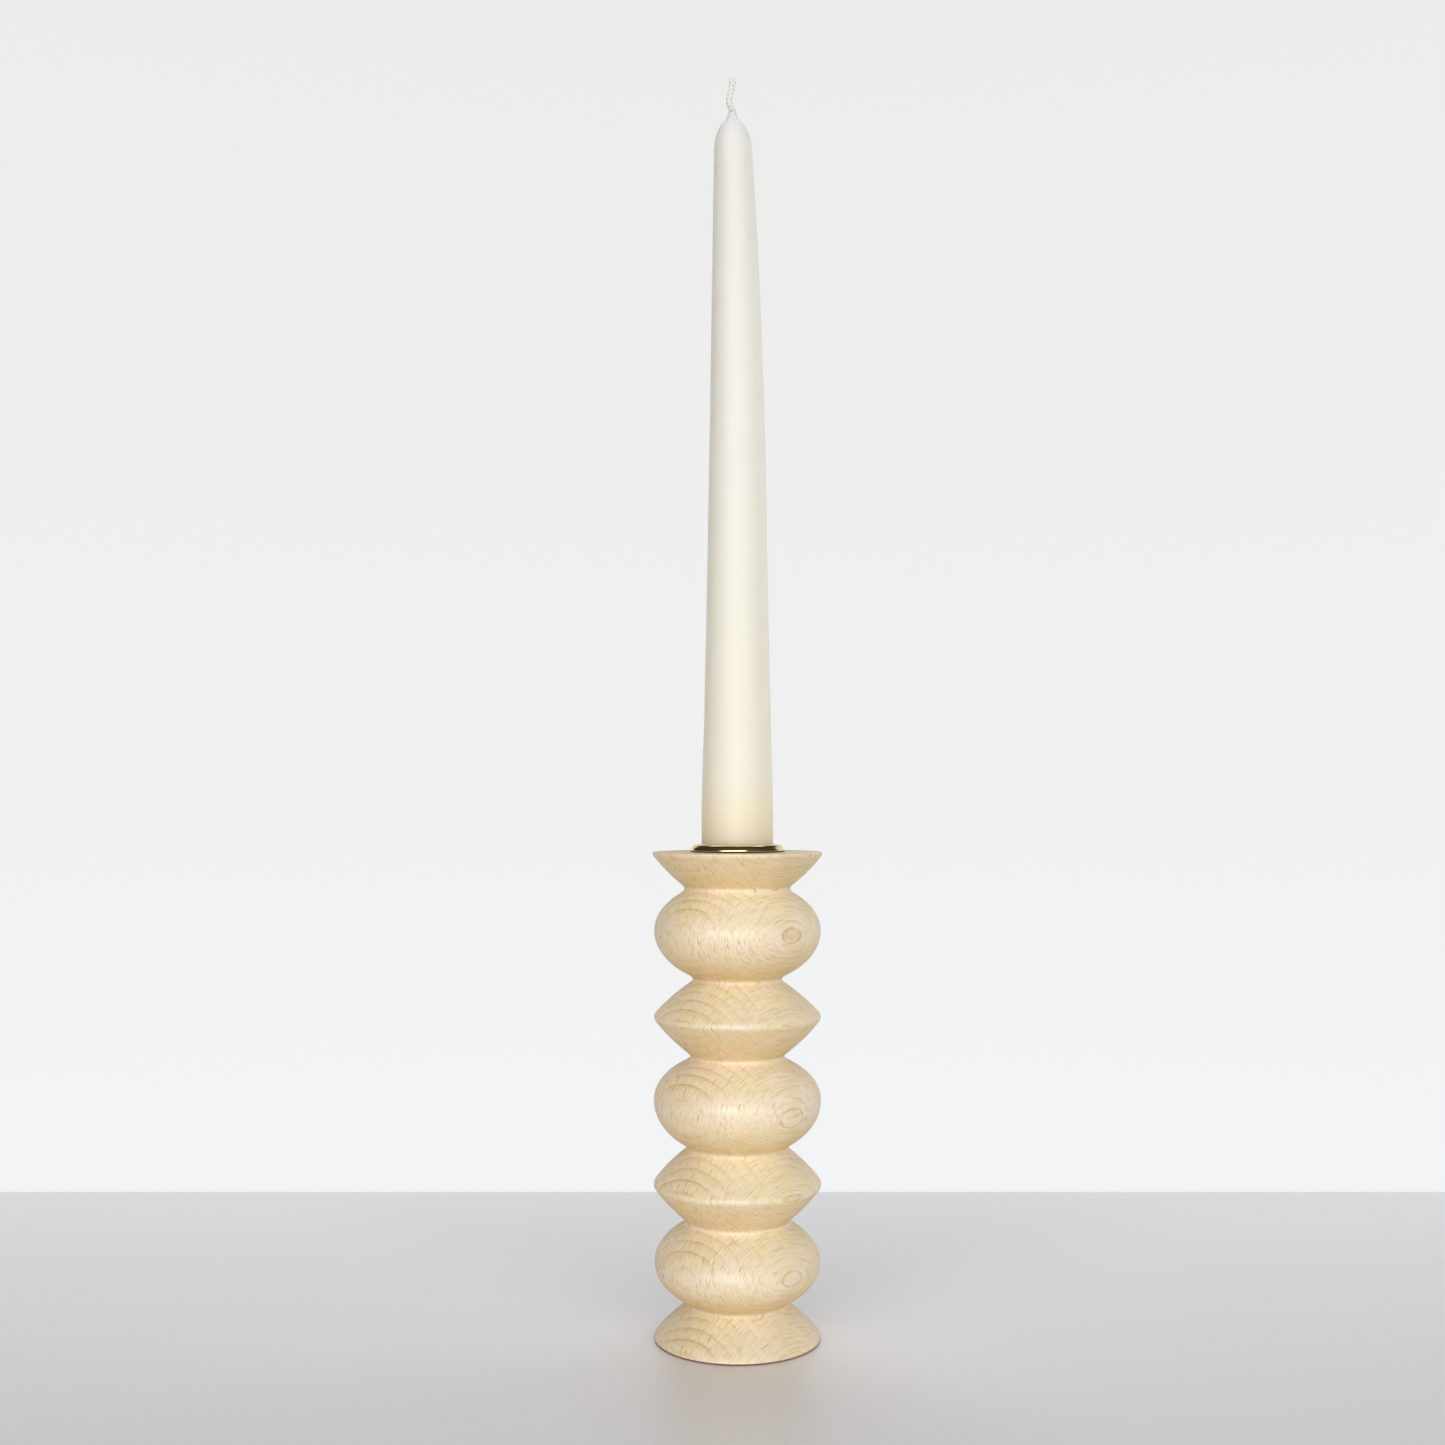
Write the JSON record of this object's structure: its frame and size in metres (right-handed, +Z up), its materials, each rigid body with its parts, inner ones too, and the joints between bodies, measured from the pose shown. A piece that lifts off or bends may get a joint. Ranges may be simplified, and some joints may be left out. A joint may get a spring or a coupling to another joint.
{
  "type": "candlestick",
  "caption": "Turned beech candlestick of stacked round bulbs and sharp discs, with a pressed brass candle cup holding an upright ivory taper candle.",
  "frame": {"origin": "centre of the flat underside of the foot, on the surface the candlestick stands on", "axes": "+Z up along the turning axis towards the wick, -Y is the front, and the candle bows slightly towards -X above its middle"},
  "size_m": [0.0504, 0.0504, 0.3747],
  "materials": {
    "beech": "pale turned beech, fine sanded, thin satin lacquer, growth rings and short brown ray flecks",
    "brass": "bright pressed sheet brass, thin clear lacquer, faint drawing lines",
    "wax": "ivory dipped wax, soft satin gloss, slightly translucent",
    "cotton": "braided cotton, unburnt, waxed where it leaves the candle"
  },
  "bodies": {
    "holder": {"turned_body": "beech", "brass_cup": "brass"},
    "taper": {"candle": "wax", "wick": "cotton"}
  },
  "joints": [
    {"name": "candle_lift", "type": "slide", "parent": "holder", "child": "taper", "axis": [0, 0, 1], "range_m": [0, 0.035]}
  ]
}
